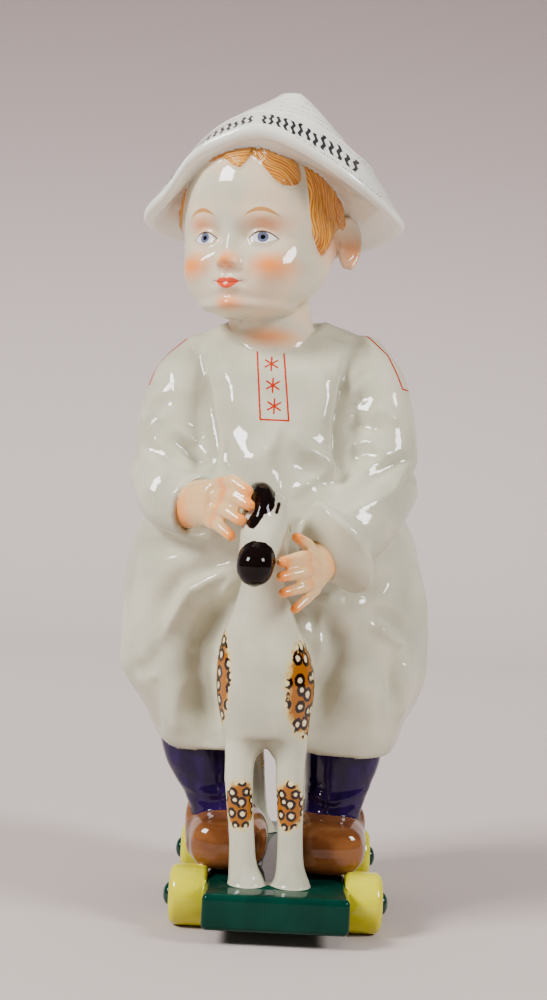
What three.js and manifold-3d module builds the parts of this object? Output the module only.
import * as THREE from 'three';
import { mergeVertices } from 'three/addons/utils/BufferGeometryUtils.js';
import Module from 'manifold-3d';

// Porcelain figurine: a small child in a long smock and a folded paper hat stands astride a toy
// horse on a wheeled cart. The whole group is one glazed casting, so it is one solid.
// Millimetres, +Z up, the front faces -Y. The group leans a little to the -X side, as cast.
// All places are measured from the sculptor's own zero; the finished solid is then moved so that
// the origin is at the middle of the bounding box's underside.

const { cos, sin, abs, sign, exp, hypot, max, min, PI } = Math;
const degrees = PI / 180;

// Driving dimensions
const originPlace = { x: -1.045, y: -7.615 };
const cart = { x: 2.5, halfWidth: 14.4, halfLength: 37, underside: 3, top: 10.2, edge: 0.9 };
const wheel = { radius: 6.1, width: 7.6, rimRound: 1.7, axleY: 21.2, sides: 16 };
const hub = { radius: 2.3, depth: 1.3 };
const horse = { frontY: -27, hindY: 25, hindShift: 2.0 };
const head = { x: -6.9, y: -2.5, z: 141.5, turn: -22 };
const hat = { x: -5.0, y: 0, turn: -16, halfLength: 28.8, halfDepth: 22.5, tipX: 2.6, tipZ: 174.6 };

const place = (x, y, z) => new THREE.Vector3(x, y, z);
const mix = (a, b, t) => a + (b - a) * t;
const bump = (distance, width) => exp(-((distance / width) ** 2));

// Cosine or sine of a superellipse; power 2 is a true ellipse and more is squarer
const rounded = (value, power) => sign(value) * abs(value) ** (2 / power);

// Smooth curve through rows of [place, value, value, ...]
function curveThrough(rows) {
  const places = rows.map((row) => row[0]);
  const values = rows.flatMap((row) => row.slice(1));
  const curve = new THREE.CubicInterpolant(places, values, rows[0].length - 1);
  return (where) => Array.from(curve.evaluate(where));
}

// Evenly spaced numbers from start to end
function steps(start, end, count) {
  return Array.from({ length: count + 1 }, (_, i) => mix(start, end, i / count));
}

// Closed skin over a stack of rings with as many points each, closed flat at both ends
function skin(rings) {
  const count = rings[0].length;
  const points = rings.flat();
  const faces = [];
  for (let i = 0; i + 1 < rings.length; i += 1) {
    for (let j = 0; j < count; j += 1) {
      const a = i * count + j;
      const b = i * count + (j + 1) % count;
      faces.push(a, b, b + count, a, b + count, a + count);
    }
  }
  const ends = [[0, -1], [(rings.length - 1) * count, 1]];
  for (const [start, turn] of ends) {
    const middle = place(0, 0, 0);
    for (let j = 0; j < count; j += 1) middle.addScaledVector(points[start + j], 1 / count);
    points.push(middle);
    for (let j = 0; j < count; j += 1) {
      const a = start + j;
      const b = start + (j + 1) % count;
      faces.push(points.length - 1, turn > 0 ? a : b, turn > 0 ? b : a);
    }
  }
  const numbers = points.flatMap((point) => [point.x, point.y, point.z]);
  const geometry = new THREE.BufferGeometry();
  geometry.setAttribute('position', new THREE.Float32BufferAttribute(numbers, 3));
  geometry.setIndex(faces);
  return geometry;
}

// Level ring, a superellipse with its own reach to each side; lift(x, y, z) moves points outward
function levelRing({ z, left, right, front, back, middle, power, lift = null }, count) {
  const centreX = (left + right) / 2;
  return Array.from({ length: count }, (_, j) => {
    const angle = (j / count) * 2 * PI;
    const outX = rounded(cos(angle), power);
    const outY = rounded(sin(angle), power);
    const reachY = outY < 0 ? middle - front : back - middle;
    const point = place(centreX + outX * (right - left) / 2, middle + outY * reachY, z);
    if (lift) {
      const away = place(cos(angle), sin(angle), 0);
      point.addScaledVector(away, lift(point.x, point.y, point.z));
    }
    return point;
  });
}

// Limb along a smooth path. Rows are [x, y, z, half width, half thickness]; the thickness is
// measured towards the up direction. Each end is rounded off by its dome, 0 leaves it flat, and a
// mouth hollows the far end out. The dome's rings are [degrees, size].
const roundDome = [[32, 0.85], [70, 0.34]];
const shortDome = [[52, 0.62]];

function limb(rows, options) {
  const { count, slices, up, domes, mouth = null, domeSteps = roundDome } = options;
  const places = rows.map((row) => place(row[0], row[1], row[2]));
  const path = new THREE.CatmullRomCurve3(places, false, 'centripetal');
  const sizes = curveThrough(rows.map((row, i) => [i / (rows.length - 1), row[3], row[4]]));
  const ringAt = (t, shrink, push) => {
    const along = path.getTangent(t);
    const side = new THREE.Vector3().crossVectors(along, up).normalize();
    const over = new THREE.Vector3().crossVectors(side, along).normalize();
    const middle = path.getPoint(t).addScaledVector(along, push);
    const [wide, thick] = sizes(t);
    return Array.from({ length: count }, (_, j) => {
      const angle = (j / count) * 2 * PI;
      return middle.clone()
        .addScaledVector(side, -cos(angle) * wide * shrink)
        .addScaledVector(over, sin(angle) * thick * shrink);
    });
  };
  const domeRings = (t, dome, outward) => domeSteps.map(([angle, shrink]) => {
    const push = outward * dome * sizes(t)[1] * sin(angle * degrees);
    return ringAt(t, shrink, push);
  });
  const rings = steps(0, 1, slices).map((t) => ringAt(t, 1, 0));
  const first = domes[0] ? domeRings(0, domes[0], -1).reverse() : [];
  const last = domes[1] ? domeRings(1, domes[1], 1) : [];
  const inner = [];
  if (mouth) {
    inner.push(ringAt(1, mouth.open, 0.2));
    inner.push(ringAt(1, mouth.open * 0.9, -mouth.depth));
  }
  return skin([...first, ...rings, ...last, ...inner]);
}

// Ellipsoid with its own half sizes
function ball(middle, [a, b, c], turn, across, down) {
  const geometry = new THREE.SphereGeometry(1, across, down);
  geometry.scale(a, b, c);
  geometry.rotateX(turn[0] * degrees);
  geometry.rotateY(turn[1] * degrees);
  geometry.rotateZ(turn[2] * degrees);
  return geometry.translate(middle.x, middle.y, middle.z);
}

// Cart platform with rounded edges, its underside a true flat
function platformShape() {
  const wide = cart.halfWidth - cart.edge;
  const long = cart.halfLength - cart.edge;
  const outline = new THREE.Shape();
  const corner = 1.2;
  outline.moveTo(-wide + corner, -long);
  outline.lineTo(wide - corner, -long);
  outline.quadraticCurveTo(wide, -long, wide, -long + corner);
  outline.lineTo(wide, long - corner);
  outline.quadraticCurveTo(wide, long, wide - corner, long);
  outline.lineTo(-wide + corner, long);
  outline.quadraticCurveTo(-wide, long, -wide, long - corner);
  outline.lineTo(-wide, -long + corner);
  outline.quadraticCurveTo(-wide, -long, -wide + corner, -long);
  const depth = cart.top - cart.underside - 2 * cart.edge;
  const bevel = { bevelThickness: cart.edge, bevelSize: cart.edge, bevelSegments: 2, curveSegments: 3 };
  const geometry = new THREE.ExtrudeGeometry(outline, { depth, ...bevel });
  return geometry.translate(cart.x, 0, cart.underside + cart.edge);
}

// One wheel with a rounded rim and a domed hub, its flat facet down; out is +1 on the +X side
function wheelShapes(out, y) {
  const start = cart.halfWidth - 0.5;
  const end = start + wheel.width;
  const radius = wheel.radius / cos(PI / wheel.sides);
  const round = wheel.rimRound;
  const profile = [[0, start], [radius, start]];
  for (const angle of [0, 50, 90]) {
    const cut = round * (1 - cos(angle * degrees));
    profile.push([radius - cut, end - round * (1 - sin(angle * degrees))]);
  }
  profile.push([0, end]);
  const points = profile.map(([away, along]) => new THREE.Vector2(away, along));
  const tyre = new THREE.LatheGeometry(points, wheel.sides, PI / wheel.sides);
  tyre.rotateZ(-PI / 2);
  const dome = new THREE.SphereGeometry(hub.radius, 8, 4);
  dome.scale(hub.depth / hub.radius, 1, 1);
  dome.translate(end, 0, 0);
  return [tyre, dome].map((geometry) => {
    geometry.rotateY(out > 0 ? 0 : PI);
    return geometry.translate(cart.x, y, wheel.radius);
  });
}

// Barrel and rump: upright slices along Y, each an ellipse
function horseBarrel() {
  // y, middle x, half width, underside z, top z
  const along = curveThrough([
    [-24, -1.4, 9.4, 38, 60],
    [-8, -0.6, 9.0, 38, 58],
    [8, 0.6, 9.0, 38, 57],
    [20, 1.5, 9.6, 37, 58],
    [27, 2.0, 8.6, 38, 57],
    [31.5, 2.2, 4.2, 43, 53],
  ]);
  const count = 14;
  const rings = [-24, -8, 8, 20, 27, 30.2, 31.5].map((y) => {
    const [x, wide, low, high] = along(y);
    return Array.from({ length: count }, (_, j) => {
      const angle = (j / count) * 2 * PI;
      return place(x + cos(angle) * wide, y, mix(low, high, 0.5 + 0.5 * sin(angle)));
    });
  });
  return skin(rings);
}

// Chest and neck in one upright run, then the face down to the muzzle and the forelock
function horseFront() {
  // z, left x, right x, front y, back y
  const outline = curveThrough([
    [36.8, -9.7, 7.1, -31.0, -21],
    [42, -10.2, 7.8, -32.3, -17],
    [47, -11.3, 8.6, -33.0, -14],
    [52, -11.6, 8.2, -33.1, -13],
    [56.5, -11.3, 6.9, -32.7, -14],
    [60.6, -10.3, 4.8, -32.3, -16],
    [65, -8.7, 3.1, -32.6, -19.5],
    [69, -7.6, 1.7, -33.4, -22.5],
    [75, -7.2, 1.5, -35.4, -25.5],
    [80, -7.4, 1.9, -37.4, -27.5],
    [84, -7.3, 1.7, -38.2, -28.5],
    [87.4, -6.0, 0.2, -37.0, -30.5],
  ]);
  const levels = [36.8, 40, 46, 52, 56.5, 60.6, 65, 70, 75, 80, 84, 87.4];
  const chest = skin(levels.map((z) => {
    const [left, right, front, back] = outline(z);
    return levelRing({ z, left, right, front, back, middle: (front + back) / 2, power: 2.2 }, 14);
  }));
  const face = limb([
    [-2.8, -33.5, 84.4, 4.7, 4.4],
    [-3.1, -38, 83.2, 4.8, 4.7],
    [-3.6, -42, 79.6, 4.3, 4.2],
    [-4.3, -46, 76.0, 3.7, 3.9],
    [-4.6, -48.4, 74.3, 3.6, 4.0],
  ], { count: 10, slices: 5, up: place(0, -0.6, 0.8), domes: [1, 1] });
  const forelock = ball(place(-4.0, -37.0, 86.4), [3.4, 3.2, 3.6], [0, 0, 0], 8, 6);
  return [chest, face, forelock];
}

// One leg, from the body to the flared hoof; side is -1 on the -X side
function horseLeg(side, y, shift) {
  // z, midline x, distance from it, half width, half thickness
  const rows = [
    [43, -1.15, 4.7, 4.0, 4.8],
    [33, -1.1, 4.9, 3.2, 3.7],
    [27, -0.6, 5.0, 2.75, 3.1],
    [19, 0, 4.8, 2.65, 2.9],
    [13.2, 0.4, 4.7, 3.0, 3.2],
    [9.8, 1.0, 4.5, 3.95, 4.2],
  ];
  const path = rows.map(([z, midline, away, wide, thick]) => {
    const back = max(0, z - 30) * 0.15;
    return [midline + shift + side * away, y + back, z, wide, thick];
  });
  return limb(path, { count: 8, slices: 5, up: place(0, 1, 0), domes: [0, 0] });
}

function horseShapes() {
  const shapes = [horseBarrel(), ...horseFront()];
  for (const side of [-1, 1]) {
    shapes.push(horseLeg(side, horse.frontY, 0));
    shapes.push(horseLeg(side, horse.hindY, horse.hindShift));
  }
  shapes.push(limb([
    [2.0, 30, 54, 2.0, 2.0],
    [2.2, 33.4, 49, 2.4, 2.4],
    [2.4, 33.6, 40, 2.6, 2.6],
    [2.6, 31.6, 30, 1.6, 1.6],
  ], { count: 7, slices: 4, up: place(0, 1, 0), domes: [0, 1], domeSteps: shortDome }));
  return shapes;
}

// Folds of the smock, each a ridge or a hollow between two places of the front view, [x, z].
// Their height is in millimetres outward, and face says on which side they lie, -1 in front.
const folds = [
  { from: [-7, 73], to: [-27, 55], width: 3.4, height: 2.0, face: -1 },
  { from: [-9, 68], to: [-17, 55], width: 2.4, height: 1.0, face: -1 },
  { from: [-13.5, 60], to: [-12.5, 42], width: 4.6, height: -2.8, face: -1 },
  { from: [-21, 50], to: [-19, 37], width: 5.0, height: 1.4, face: -1 },
  { from: [9.6, 66], to: [13, 50], width: 2.6, height: 1.2, face: -1 },
  { from: [10.8, 57], to: [11.4, 44], width: 3.4, height: -2.2, face: -1 },
  { from: [20, 60], to: [23, 42], width: 6.0, height: 1.8, face: -1 },
  { from: [30, 61], to: [18, 51], width: 2.2, height: -1.3, face: -1 },
  { from: [-20, 78], to: [-6, 79], width: 3.2, height: -1.4, face: -1 },
  { from: [14, 72], to: [25, 76], width: 3.4, height: -1.4, face: -1 },
  { from: [-14.5, 104], to: [-14.5, 92], width: 2.0, height: -1.4, face: -1 },
  { from: [12.0, 106], to: [12.2, 93], width: 2.0, height: -1.6, face: -1 },
  { from: [2, 98], to: [12, 91], width: 2.0, height: 0.8, face: -1 },
  { from: [-16, 86], to: [-22, 40], width: 4.0, height: 1.5, face: 1 },
  { from: [-7, 92], to: [-9, 60], width: 3.4, height: -1.6, face: 1 },
  { from: [0, 90], to: [1, 62], width: 3.8, height: 1.2, face: 1 },
  { from: [8, 92], to: [10, 60], width: 3.4, height: -1.6, face: 1 },
  { from: [15, 86], to: [22, 40], width: 4.0, height: 1.5, face: 1 },
];

function foldLift(x, y, z) {
  let height = 0;
  for (const fold of folds) {
    if (sign(y) !== fold.face) continue;
    const [ax, az] = fold.from;
    const [bx, bz] = fold.to;
    const run = (bx - ax) ** 2 + (bz - az) ** 2;
    const t = min(1, max(0, ((x - ax) * (bx - ax) + (z - az) * (bz - az)) / run));
    const distance = hypot(x - mix(ax, bx, t), z - mix(az, bz, t));
    height += fold.height * bump(distance, fold.width) * min(1, abs(y) / 8);
  }
  return height;
}

// Smock: level rings from the recessed underside of the hem up to the collar
function smock() {
  // z, left x, right x, front y, back y, power
  const outline = curveThrough([
    [33.6, -22.4, 25.9, -18.5, 20, 2.5],
    [36, -24.6, 27.2, -19.2, 21.5, 2.5],
    [41, -26.9, 28.6, -20.0, 23, 2.5],
    [45, -29.0, 30.2, -20.6, 23.8, 2.4],
    [49, -31.5, 31.3, -21.2, 24.2, 2.35],
    [57, -32.0, 31.6, -22.2, 24.2, 2.3],
    [65, -31.9, 31.3, -22.8, 23.4, 2.3],
    [73, -31.5, 30.3, -23.2, 22.2, 2.3],
    [80, -30.6, 28.8, -23.6, 20.8, 2.3],
    [86, -27.0, 25.0, -23.4, 19.6, 2.3],
    [92, -22.5, 19.5, -22.2, 18.6, 2.1],
    [100, -21.5, 17.2, -19.6, 17.6, 2.1],
    [108, -22.6, 18.2, -17.0, 16.6, 2.1],
    [114, -25.4, 21.8, -14.2, 14.6, 2.1],
    [118.4, -24.0, 21.4, -11.2, 11.6, 2.1],
    [121.6, -20.2, 18.6, -9.6, 9.6, 2.1],
    [124.0, -15.4, 13.2, -9.0, 8.0, 2.0],
    [125.4, -12.0, 8.0, -8.2, 6.6, 2.0],
  ]);
  const count = 32;
  const ringAt = (z, inset = 0, drop = 0) => {
    const [left, right, front, back, power] = outline(z);
    const reach = { left: left + inset, right: right - inset, front: front + inset, back: back - inset };
    const lift = inset ? null : foldLift;
    return levelRing({ z: z - drop, ...reach, middle: 1, power, lift }, count);
  };
  const hem = [ringAt(33.6, 2.4, -3.5), ringAt(33.6, 1.9, -0.6), ringAt(33.6, 0.9, 0.1)];
  const skirt = [34, 37, 41, 45, 49, 53, 57.5, 62, 66.5, 71, 75.5, 80];
  const blouse = [85, 90, 96, 102.5, 109, 114, 118.4, 121.6, 124, 125.4];
  return skin([...hem, ...[...skirt, ...blouse].map((z) => ringAt(z))]);
}

// Both sleeves and the turned-back cuff on the child's left arm (+X)
function sleeves() {
  const shared = { count: 12, slices: 8, up: place(0, 1, 0.15), domes: [0.8, 0] };
  const plain = limb([
    [-18.4, 0.3, 116.0, 6.4, 6.8],
    [-21.9, -2.0, 110, 7.6, 8.0],
    [-23.7, -4.8, 99, 8.3, 8.8],
    [-24.0, -9.5, 90.5, 7.8, 7.8],
    [-22.2, -17.5, 85.8, 6.7, 6.8],
    [-17.0, -24.0, 84.5, 6.7, 6.8],
  ], { ...shared, mouth: { open: 0.8, depth: 2.6 } });
  const turned = limb([
    [14.8, 0.3, 117.6, 6.4, 6.8],
    [18.2, -2.0, 111, 7.6, 8.0],
    [20.2, -5.2, 99, 8.0, 8.6],
    [20.2, -10.0, 90.0, 7.7, 7.8],
    [16.6, -18.0, 83.8, 7.4, 7.4],
    [12.2, -24.2, 78.8, 6.6, 6.6],
  ], shared);
  return [plain, turned, cuff()];
}

// Turned-back cuff: a flared ring with a waved rim, wider than the sleeve behind it
function cuff() {
  const middle = place(10.6, -26, 77.6);
  const out = place(-0.66, -0.56, -0.5).normalize();
  const across = place(0.6, 0, -0.8).normalize();
  const over = new THREE.Vector3().crossVectors(out, across).normalize();
  // push along the arm, radius, depth of the wave
  const rings = [
    [-4.2, 6.4, 0],
    [-1.6, 8.3, 0.5],
    [0, 9.4, 1],
    [0.8, 9.3, 1],
    [1.2, 8.4, 0.8],
    [3.2, 5.6, 0],
    [3.4, 4.9, 0],
    [1.4, 4.5, 0],
  ];
  const count = 16;
  return skin(rings.map(([push, radius, wave]) => Array.from({ length: count }, (_, j) => {
    const angle = (j / count) * 2 * PI;
    const waved = radius + wave * 0.45 * sin(3 * angle + 0.6);
    return middle.clone()
      .addScaledVector(out, push + wave * 0.5 * cos(3 * angle))
      .addScaledVector(across, cos(angle) * waved)
      .addScaledVector(over, sin(angle) * waved);
  })));
}

// One hand: wrist and palm, then the digits, each [knuckle, middle joint, tip, radius]
function hand(palm, up, digits) {
  const shapes = [limb(palm, { count: 8, slices: 3, up, domes: [0, 1], domeSteps: shortDome })];
  for (const [knuckle, joint, tip, radius] of digits) {
    const slim = radius * 0.86;
    const rows = [[...knuckle, radius, radius], [...joint, radius, radius], [...tip, slim, slim]];
    const options = { count: 5, slices: 2, up: place(0, 0, 1), domes: [0, 1], domeSteps: shortDome };
    shapes.push(limb(rows, options));
  }
  return shapes;
}

function hands() {
  const overForelock = hand([
    [-19.6, -20.6, 84.2, 4.4, 3.8],
    [-17.2, -26.0, 84.4, 4.7, 3.2],
    [-14.4, -31.6, 84.6, 4.7, 2.9],
    [-12.6, -35.0, 84.7, 4.3, 2.2],
  ], place(-0.8, -0.6, 0), [
    [[-12.6, -33.8, 88.0], [-8.8, -40.2, 88.0], [-5.8, -42.4, 86.4], 1.5],
    [[-13.0, -34.4, 85.8], [-9.5, -40.8, 85.1], [-6.0, -43.4, 84.2], 1.5],
    [[-13.4, -34.2, 83.4], [-10.7, -40.2, 82.7], [-7.6, -43.4, 81.7], 1.45],
    [[-13.7, -33.4, 81.0], [-11.6, -38.4, 80.0], [-9.0, -41.6, 78.7], 1.3],
    [[-14.0, -31.5, 88.6], [-9.8, -37.0, 89.6], [-6.4, -40.6, 88.8], 1.4],
  ]);
  const onMuzzle = hand([
    [10.4, -27.6, 76.0, 4.0, 3.4],
    [8.2, -31.4, 74.2, 4.0, 3.2],
    [6.6, -35.0, 73.0, 4.5, 2.9],
    [5.4, -37.6, 72.4, 4.2, 2.3],
  ], place(0.75, -0.66, 0), [
    [[4.9, -37.8, 76.0], [2.5, -43.8, 75.0], [-0.3, -46.6, 74.2], 1.45],
    [[5.2, -38.2, 73.7], [3.2, -43.8, 72.5], [-0.1, -46.6, 71.9], 1.45],
    [[5.6, -37.6, 71.3], [3.7, -42.8, 70.1], [0.8, -45.6, 69.4], 1.4],
    [[5.8, -36.2, 68.9], [4.7, -39.8, 67.2], [3.1, -42.6, 66.0], 1.25],
    [[6.4, -33.6, 76.6], [4.4, -36.8, 78.2], [2.8, -39.6, 79.6], 1.4],
  ]);
  return [...overForelock, ...onMuzzle];
}

// Head in its own frame: height from the head's middle, half width, front and back reach
const headOutline = curveThrough([
  [-18.8, 5.0, -12.8, 3.0],
  [-17.6, 8.6, -15.2, 6.0],
  [-14.5, 12.6, -16.4, 10.0],
  [-10, 15.0, -16.9, 13.5],
  [-5, 15.9, -17.0, 15.6],
  [0, 16.1, -17.2, 17.0],
  [5, 16.2, -18.2, 17.6],
  [10, 15.4, -18.4, 17.3],
  [15, 13.4, -16.6, 15.5],
  [18.6, 9.6, -12.4, 11.6],
  [20.5, 4.0, -5.6, 5.0],
]);

// Face relief: [across, height, half width, half height, rise], mirrored unless on the midline
const faceRelief = [
  [0, -6.4, 1.9, 1.9, 2.5],
  [0, -3.4, 1.5, 3.2, 1.1],
  [1.9, -6.9, 1.2, 1.2, 0.7],
  [6.6, -1.4, 3.6, 2.3, -1.3],
  [6.6, -1.6, 2.4, 1.5, 0.7],
  [8.6, -7.4, 4.6, 4.0, 1.2],
  [0, -11.2, 4.2, 2.6, 1.0],
  [0, -10.4, 2.4, 0.8, 0.5],
  [0, -12.2, 2.0, 0.8, 0.5],
  [0, -14.0, 2.6, 1.0, -0.5],
  [0, -16.4, 3.2, 2.4, 1.1],
];

function headPoint(angle, height, lift = 0) {
  const [side, front, back] = headOutline(height);
  const power = 2.15;
  const outX = rounded(cos(angle), power);
  const outY = rounded(sin(angle), power);
  const x = outX * side;
  const y = outY < 0 ? -outY * front : outY * back;
  let rise = lift;
  if (y < 0) {
    for (const [across, level, wide, high, amount] of faceRelief) {
      for (const mirror of across ? [-1, 1] : [1]) {
        rise += amount * bump(x - mirror * across, wide) * bump(height - level, high);
      }
    }
  }
  const point = place(x + cos(angle) * rise, y + sin(angle) * rise, height);
  point.applyAxisAngle(place(0, 0, 1), head.turn * degrees);
  return point.add(place(head.x, head.y, head.z));
}

function headShapes() {
  const count = 28;
  const crowd = -0.48;
  const chin = [-18.8, -17.2, -15.4, -13.8, -12.2, -11];
  const levels = [...chin, -9.6, -8, -6.4, -4.6, -2.8, -0.6, 2, 6, 11, 16];
  const rings = levels.map((height) => Array.from({ length: count }, (_, j) => {
    const even = (j / count) * 2 * PI;
    return headPoint(even + crowd * cos(even), height);
  }));
  const neck = limb([
    [-3.2, -0.6, 114, 9.6, 9.6],
    [-3.6, -0.8, 120, 9.3, 9.3],
    [-4.6, -1.0, 130, 9.4, 9.4],
  ], { count: 14, slices: 2, up: place(0, 1, 0), domes: [0, 0] });
  const ears = [[-3, 1, 1.4], [206, -1, -0.4]].map(([angle, side, away]) => {
    const middle = headPoint(angle * degrees, -0.8, away);
    return ball(middle, [2.0, 2.8, 4.3], [14, side * 12, head.turn + side * 24], 8, 6);
  });
  return [skin(rings), neck, ...ears, ...hairLocks()];
}

// Locks of hair that show under the brim, laid on the head: each is a row of
// [degrees round the head, height, half width, half thickness]
function hairLocks() {
  const locks = [
    [[-84, 17.4, 3.0, 1.5], [-94, 16.0, 3.0, 1.6], [-104, 14.8, 1.9, 1.1], [-112, 14.2, 0.7, 0.5]],
    [[-88, 17.6, 3.0, 1.5], [-76, 16.0, 3.6, 1.8], [-64, 13.4, 3.4, 1.7], [-52, 9.8, 1.8, 0.9]],
    [[-84, 17, 2.4, 1.5], [-88, 14.2, 1.8, 1.3], [-90, 12.4, 0.8, 0.6]],
    [[-32, 11.5, 2.6, 1.4], [-24, 6.0, 3.6, 1.7], [-19, 0.5, 3.2, 1.6], [-22, -5.5, 1.0, 0.7]],
    [[-22, 10.5, 2.6, 1.4], [-12, 6.0, 3.0, 1.5], [-8, 2.6, 1.8, 1.0]],
    [[206, 6.0, 2.2, 1.2], [207, 0.5, 2.2, 1.2], [208, -4.5, 0.9, 0.6]],
  ];
  return locks.map((rows) => {
    const laid = rows.map(([angle, height, wide, thick]) => {
      const point = headPoint(angle * degrees, height, -0.2);
      return [point.x, point.y, point.z, wide, thick];
    });
    const [angle] = rows[1];
    const outward = headPoint(angle * degrees, 5, 3).sub(headPoint(angle * degrees, 5, 0));
    const up = outward.normalize();
    return limb(laid, { count: 5, slices: 3, up, domes: [0, 1], domeSteps: shortDome });
  });
}

// Point of the hat from its own frame: along the long axis, to the back, and up
function hatPoint(along, back, z) {
  const turned = place(along, back, 0).applyAxisAngle(place(0, 0, 1), hat.turn * degrees);
  return place(hat.x + turned.x, hat.y + turned.y, z);
}

// Folded paper hat: rings from the closed underside over the thick lip, up the turned-up flap
// with its top edge, and over the crown to the tip
function hatShape() {
  // along, height of the front lip, of the back lip, of the flap's top edge
  const heights = curveThrough([
    [-28.8, 146.9, 146.9, 149.5],
    [-24, 147.6, 146.2, 153.5],
    [-18, 149.8, 145.4, 158.6],
    [-13, 155.2, 144.6, 162.3],
    [-5, 159.2, 143.8, 166.4],
    [3, 160.8, 143.4, 167.4],
    [10, 158.4, 143.4, 165.8],
    [18, 153.8, 143.6, 160.9],
    [24, 149.1, 144.0, 155.2],
    [28.8, 144.9, 144.9, 148.0],
  ]);
  const count = 34;
  const ring = (halfLength, halfDepth, shift, power, heightAt) => {
    return Array.from({ length: count }, (_, j) => {
      const angle = (j / count) * 2 * PI;
      const along = shift + rounded(cos(angle), power) * halfLength;
      const back = rounded(sin(angle), power) * halfDepth;
      return hatPoint(along, back, heightAt(along, back / halfDepth));
    });
  };
  const lipAt = (along, side) => {
    const [front, rear] = heights(along);
    return mix(front, rear, 0.5 + 0.5 * sign(side) * min(1, abs(side) * 2.4));
  };
  const underside = (along, side) => 149.2 - 7.6 * side - 0.014 * along ** 2;
  const { halfLength: long, halfDepth: deep } = hat;
  return skin([
    ring(14, 13, 0, 2, (along, side) => underside(along, side) - 0.6),
    ring(19, 17, 0, 2.1, (along, side) => mix(underside(along, side), lipAt(along, side), 0.25) - 1.7),
    ring(long - 1.6, deep - 1.4, 0, 2.3, (along, side) => lipAt(along, side) - 0.9),
    ring(long - 0.3, deep - 0.2, 0, 2.3, (along, side) => lipAt(along, side) + 0.1),
    ring(long, deep, 0, 2.3, (along, side) => lipAt(along, side) + 1.0),
    ring(21.6, 15.0, 0, 2.2, (along) => heights(along)[2] - 0.3),
    ring(20.8, 14.3, 0, 2.2, (along) => heights(along)[2] - 0.2),
    ring(20.0, 13.6, 0, 2.2, (along) => heights(along)[2] - 0.9),
    ring(14.0, 9.2, 0.4, 2.1, (along) => 169.2 - 0.024 * (along - 0.6) ** 2),
    ring(7.6, 5.0, 1.0, 2, (along) => 172.0 - 0.03 * (along - 2.6) ** 2),
    ring(2.4, 1.6, hat.tipX, 2, () => hat.tipZ - 0.5),
  ]);
}

// Stocking and clog of one leg; side is -1 on the child's right
function legShapes(side) {
  const ankle = side < 0 ? place(-9.9, -7, 20) : place(13.6, -7, 20);
  const knee = side < 0 ? place(-14.6, -4, 38) : place(16.2, -4, 38);
  const sole = side < 0 ? -8.1 : 12.7;
  const legRow = (t, z, wide, thick) => {
    return [mix(ankle.x, knee.x, t), mix(ankle.y, knee.y, t), z, wide, thick];
  };
  const stocking = limb([
    legRow(1, 38, 7.9, 8.2),
    legRow(0.7, 32, 7.4, 7.6),
    legRow(0.3, 25.4, 6.4, 6.8),
    legRow(0, 19, 6.1, 6.8),
    legRow(0, 15, 5.4, 6.4),
  ], { count: 10, slices: 4, up: place(0, 1, 0), domes: [0, 0] });
  const clog = limb([
    [sole - side, 2.4, 15.6, 5.4, 5.6],
    [sole - side * 0.5, -3, 15.6, 6.6, 5.6],
    [sole, -11, 15.8, 7.2, 5.7],
    [sole, -18, 16.4, 7.4, 5.3],
    [sole, -21.4, 16.8, 6.5, 4.4],
  ], { count: 10, slices: 4, up: place(0, 0, 1), domes: [0.7, 0.8] });
  const heelRim = limb([
    [ankle.x + side * 6.6, -7.5, 19.0, 1.3, 2.0],
    [ankle.x + side * 5.0, -1.0, 20.6, 1.3, 2.0],
    [ankle.x, 1.9, 21.2, 1.3, 2.0],
    [ankle.x - side * 5.0, -1.0, 20.6, 1.3, 2.0],
    [ankle.x - side * 6.4, -7.5, 19.0, 1.3, 2.0],
  ], { count: 5, slices: 5, up: place(0, 0, 1), domes: [0, 0] });
  return [stocking, clog, heelRim];
}

// Joins closed shapes to one solid
async function join(shapes) {
  const library = await Module();
  library.setup();
  const solids = shapes.map((shape) => {
    shape.deleteAttribute('normal');
    shape.deleteAttribute('uv');
    const merged = mergeVertices(shape, 1e-4);
    const vertProperties = Float32Array.from(merged.attributes.position.array);
    const triVerts = Uint32Array.from(merged.index.array);
    if (signedVolume(vertProperties, triVerts) < 0) {
      for (let i = 0; i < triVerts.length; i += 3) {
        [triVerts[i + 1], triVerts[i + 2]] = [triVerts[i + 2], triVerts[i + 1]];
      }
    }
    return new library.Manifold(new library.Mesh({ numProp: 3, vertProperties, triVerts }));
  });
  const joined = solids.reduce((whole, solid) => whole.add(solid)).getMesh();
  const geometry = new THREE.BufferGeometry();
  const numbers = Float32Array.from(joined.vertProperties);
  geometry.setAttribute('position', new THREE.BufferAttribute(numbers, 3));
  geometry.setIndex(Array.from(joined.triVerts));
  return geometry;
}

function signedVolume(points, faces) {
  const corner = (i) => new THREE.Vector3().fromArray(points, faces[i] * 3);
  let volume = 0;
  for (let i = 0; i < faces.length; i += 3) {
    volume += corner(i).dot(corner(i + 1).cross(corner(i + 2))) / 6;
  }
  return volume;
}

const shapes = [platformShape()];
for (const out of [-1, 1]) {
  for (const y of [-wheel.axleY, wheel.axleY]) shapes.push(...wheelShapes(out, y));
}
shapes.push(...horseShapes(), smock(), ...sleeves(), ...hands());
shapes.push(...headShapes(), hatShape(), ...legShapes(-1), ...legShapes(1));

const geometry = await join(shapes);
geometry.translate(-originPlace.x, -originPlace.y, 0);
geometry.computeVertexNormals();

const glaze = new THREE.MeshStandardMaterial({ color: 0xcdcdc4, roughness: 0.1, metalness: 0 });
const figurine = new THREE.Mesh(geometry, glaze);
figurine.name = 'figurine';

const model = new THREE.Group();
model.add(figurine);

export default model;
